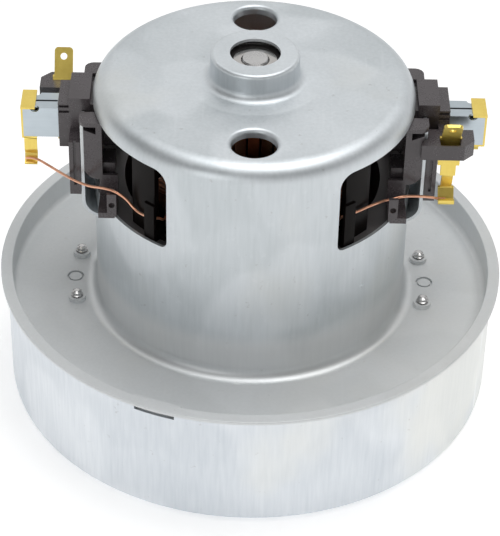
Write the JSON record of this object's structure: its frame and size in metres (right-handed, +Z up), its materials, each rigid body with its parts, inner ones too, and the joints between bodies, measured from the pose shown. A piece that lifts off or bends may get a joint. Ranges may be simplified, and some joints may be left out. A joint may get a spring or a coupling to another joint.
{
  "type": "vacuum motor unit",
  "caption": "Brushed vacuum cleaner motor in a drawn steel housing on a deep fan cover, with side brush holders, brass spade terminals and a spinning rotor and fan.",
  "frame": {"origin": "centre of the fan cover's bottom, on the shaft axis", "axes": "+Z up along the shaft to the top bearing boss; the brushes lie along X, the picture's front is -Y"},
  "size_m": [0.135, 0.135, 0.101],
  "materials": {
    "galvanised_steel": "drawn galvanised sheet",
    "cover_steel": "brushed galvanised sheet",
    "bright_steel": "ground",
    "bearing_steel": "polished",
    "core_steel": "laminated, varnished",
    "plated_sheet": "zinc plated",
    "brass": "rolled",
    "copper": "enamelled wire",
    "winding": "varnished enamelled wire",
    "holder_plastic": "moulded thermoset",
    "frame_plastic": "moulded",
    "guide_plastic": "moulded",
    "seal_rubber": "moulded",
    "carbon": "pressed carbon",
    "fan_aluminium": "rolled"
  },
  "bodies": {
    "housing": {"motor_housing": "galvanised_steel", "fan_cover": "cover_steel", "lower_bracket": "galvanised_steel", "bracket_screws": "bright_steel", "diffuser": "guide_plastic", "top_bearing_outer_ring": "bearing_steel", "top_bearing_seals": "seal_rubber", "tolerance_ring": "bright_steel", "wave_washer": "bright_steel", "lower_bearing_outer_ring": "bearing_steel", "lower_bearing_seals": "seal_rubber", "stator_core": "core_steel", "front_field_coil": "winding", "back_field_coil": "winding", "front_coil_frame": "frame_plastic", "back_coil_frame": "frame_plastic", "right_brush_tube": "plated_sheet", "right_brush_spring": "bright_steel", "right_brush_braid": "copper", "right_brush_cap": "brass", "right_brush_holder": "holder_plastic", "right_terminal": "brass", "left_brush_tube": "plated_sheet", "left_brush_spring": "bright_steel", "left_brush_braid": "copper", "left_brush_cap": "brass", "left_brush_holder": "holder_plastic", "left_terminal": "brass", "front_left_lead": "copper", "front_right_lead": "copper", "back_right_lead": "copper", "back_left_lead": "copper"},
    "rotor": {"shaft": "bright_steel", "armature_core": "core_steel", "armature_winding": "winding", "commutator_hub": "frame_plastic", "commutator_bars": "copper", "top_bearing_inner_ring": "bearing_steel", "lower_bearing_inner_ring": "bearing_steel", "impeller_front_disc": "fan_aluminium", "impeller_back_disc": "fan_aluminium", "impeller_blades": "fan_aluminium", "upper_fan_washer": "bright_steel", "lower_fan_washer": "bright_steel", "fan_spacer": "bright_steel", "fan_nut": "bright_steel"},
    "top_cage": {"top_bearing_cage": "bright_steel", "top_bearing_balls": "bearing_steel"},
    "lower_cage": {"lower_bearing_cage": "bright_steel", "lower_bearing_balls": "bearing_steel"},
    "right_brush": {"right_carbon_brush": "carbon"},
    "left_brush": {"left_carbon_brush": "carbon"}
  },
  "joints": [
    {"name": "rotor_spin", "type": "hinge", "parent": "housing", "child": "rotor", "pos_m": [0, 0, 0.05], "axis": [0, 0, 1], "continuous": true},
    {"name": "top_cage_spin", "type": "hinge", "parent": "housing", "child": "top_cage", "pos_m": [0, 0, 0.0956], "axis": [0, 0, 1], "continuous": true},
    {"name": "lower_cage_spin", "type": "hinge", "parent": "housing", "child": "lower_cage", "pos_m": [0, 0, 0.0241], "axis": [0, 0, 1], "continuous": true},
    {"name": "right_brush_slide", "type": "slide", "parent": "housing", "child": "right_brush", "axis": [1, 0, 0], "range_m": [0, 0.009], "stiffness_N_per_m": 60, "springref_m": -0.02, "deforming": ["right_brush_spring", "right_brush_braid"]},
    {"name": "left_brush_slide", "type": "slide", "parent": "housing", "child": "left_brush", "axis": [-1, 0, 0], "range_m": [0, 0.009], "stiffness_N_per_m": 60, "springref_m": -0.02, "deforming": ["left_brush_spring", "left_brush_braid"]}
  ],
  "couplings": [
    {"joint": "top_cage_spin", "follows": "rotor_spin", "ratio": 0.3779},
    {"joint": "lower_cage_spin", "follows": "rotor_spin", "ratio": 0.3677}
  ]
}
